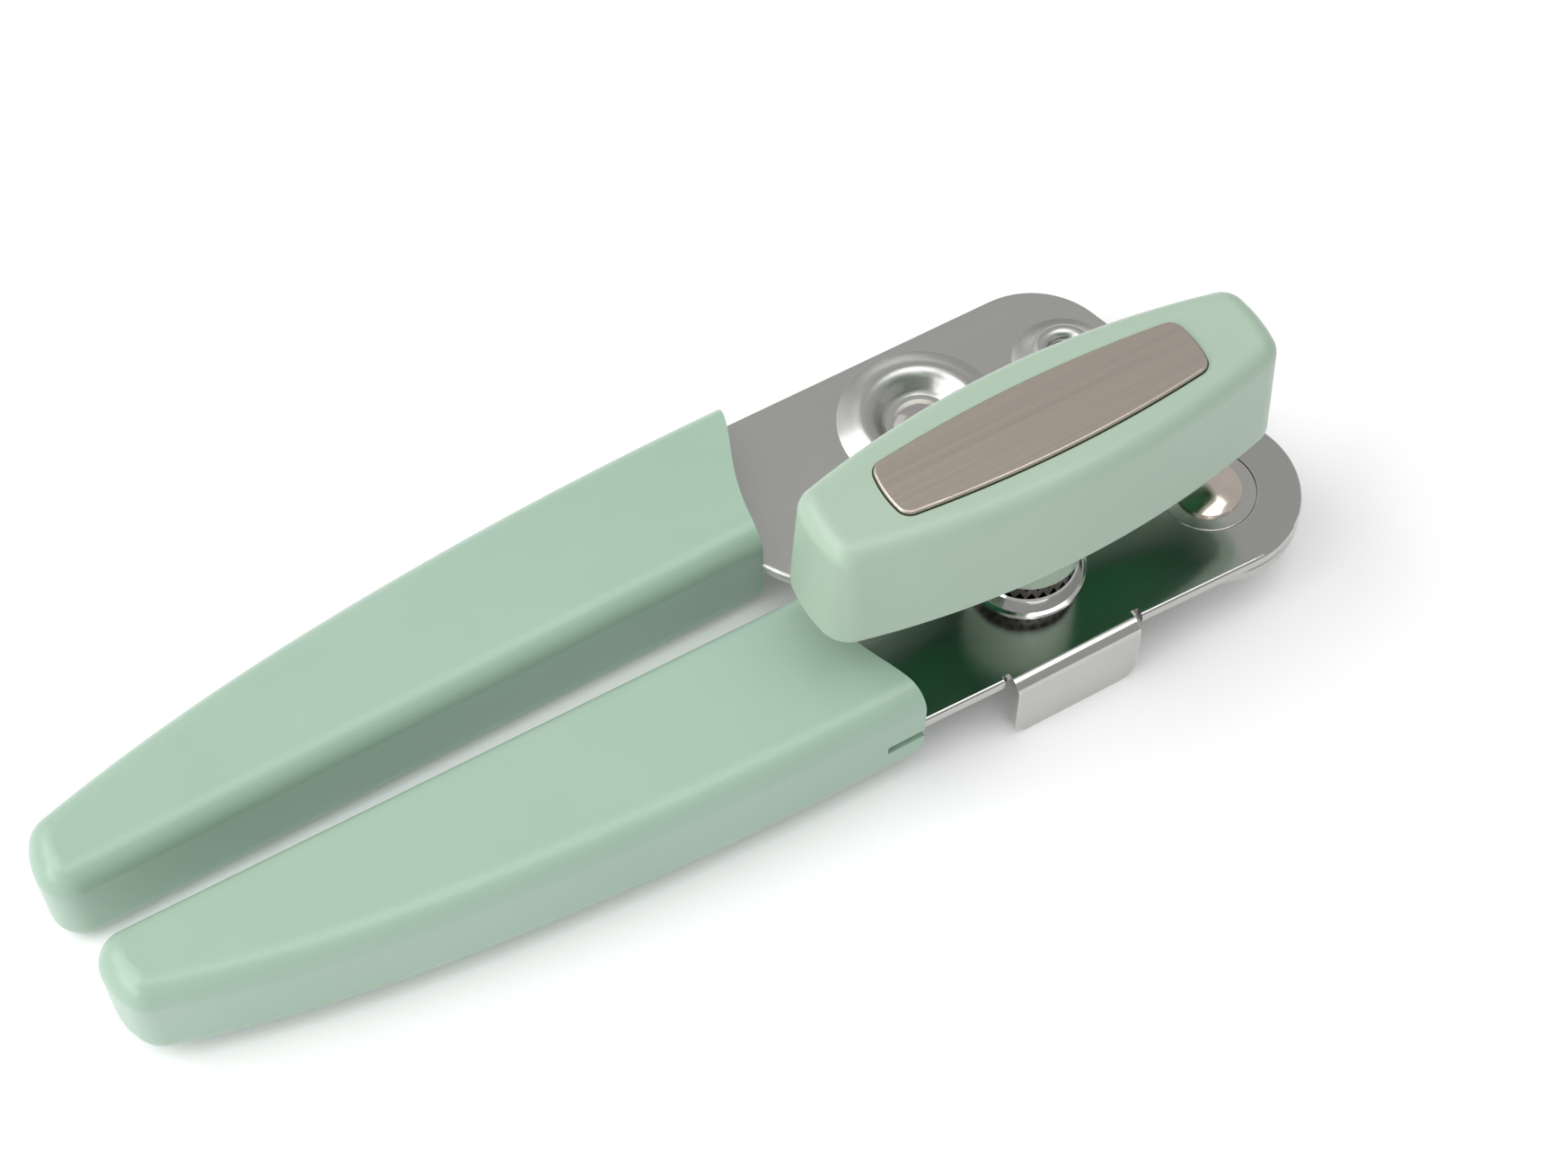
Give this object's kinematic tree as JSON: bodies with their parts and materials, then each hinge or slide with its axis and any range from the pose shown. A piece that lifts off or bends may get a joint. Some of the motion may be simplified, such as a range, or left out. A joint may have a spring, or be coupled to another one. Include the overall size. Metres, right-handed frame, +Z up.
{
  "type": "can opener",
  "caption": "Hand-held can opener: sleeved steel handles on one pivot, a turning knob that drives a serrated wheel, and a geared cutting wheel.",
  "frame": {"origin": "middle of the closed opener's box, on the surface it lies on", "axes": "+X from the grips to the head, +Y from the front handle to the back handle, +Z up through the knob"},
  "size_m": [0.1978, 0.0652, 0.054],
  "materials": {
    "grip_plastic": "satin, faintly textured, pale green",
    "knob_plastic": "satin pale green",
    "inlay_metal": "fine lengthways brushing, bright bevelled edge",
    "plate_steel": "nickel-plated pressed steel, satin with soft reflections",
    "bright_steel": "polished turned steel",
    "chrome_collar": "polished",
    "dark_spring_steel": "oiled dark spring steel",
    "gear_steel": "sintered steel, lightly plated",
    "blade_steel": "ground stainless edge",
    "magnet_plate": "nickel-plated ferrite disc cup"
  },
  "bodies": {
    "front_handle": {"front_plate": "plate_steel", "front_grip": "grip_plastic", "drive_bush": "chrome_collar", "wave_spring": "dark_spring_steel", "pivot_rivet": "bright_steel", "pivot_washer": "bright_steel", "pivot_shim": "dark_spring_steel", "pivot_backing_washer": "bright_steel"},
    "back_handle": {"back_plate": "plate_steel", "back_grip": "grip_plastic", "cutter_axle": "bright_steel", "cutter_washer": "bright_steel", "cutter_screw": "bright_steel", "lid_magnet": "magnet_plate", "magnet_rivet": "bright_steel"},
    "turning_knob": {"knob_body": "knob_plastic", "knob_base": "knob_plastic", "knob_inlay": "inlay_metal", "knob_screw": "bright_steel", "drive_shaft": "bright_steel", "thrust_washer": "bright_steel", "drive_gear": "gear_steel", "feed_wheel": "gear_steel", "drive_nut": "bright_steel"},
    "cutter": {"cutter_gear": "gear_steel", "cutting_wheel": "blade_steel"}
  },
  "joints": [
    {"name": "handle_pivot", "type": "hinge", "parent": "front_handle", "child": "back_handle", "pos_m": [0.0843, -0.0169, 0.01185], "axis": [0, 0, -1], "range_deg": [0, 18]},
    {"name": "knob_spin", "type": "hinge", "parent": "front_handle", "child": "turning_knob", "pos_m": [0.0524, -0.0143, 0.014], "axis": [0, 0, 1], "continuous": true},
    {"name": "cutter_spin", "type": "hinge", "parent": "back_handle", "child": "cutter", "pos_m": [0.0644, 0.0011, 0.006], "axis": [0, 0, 1], "continuous": true}
  ],
  "couplings": [
    {"joint": "cutter_spin", "follows": "knob_spin", "ratio": -0.95}
  ]
}
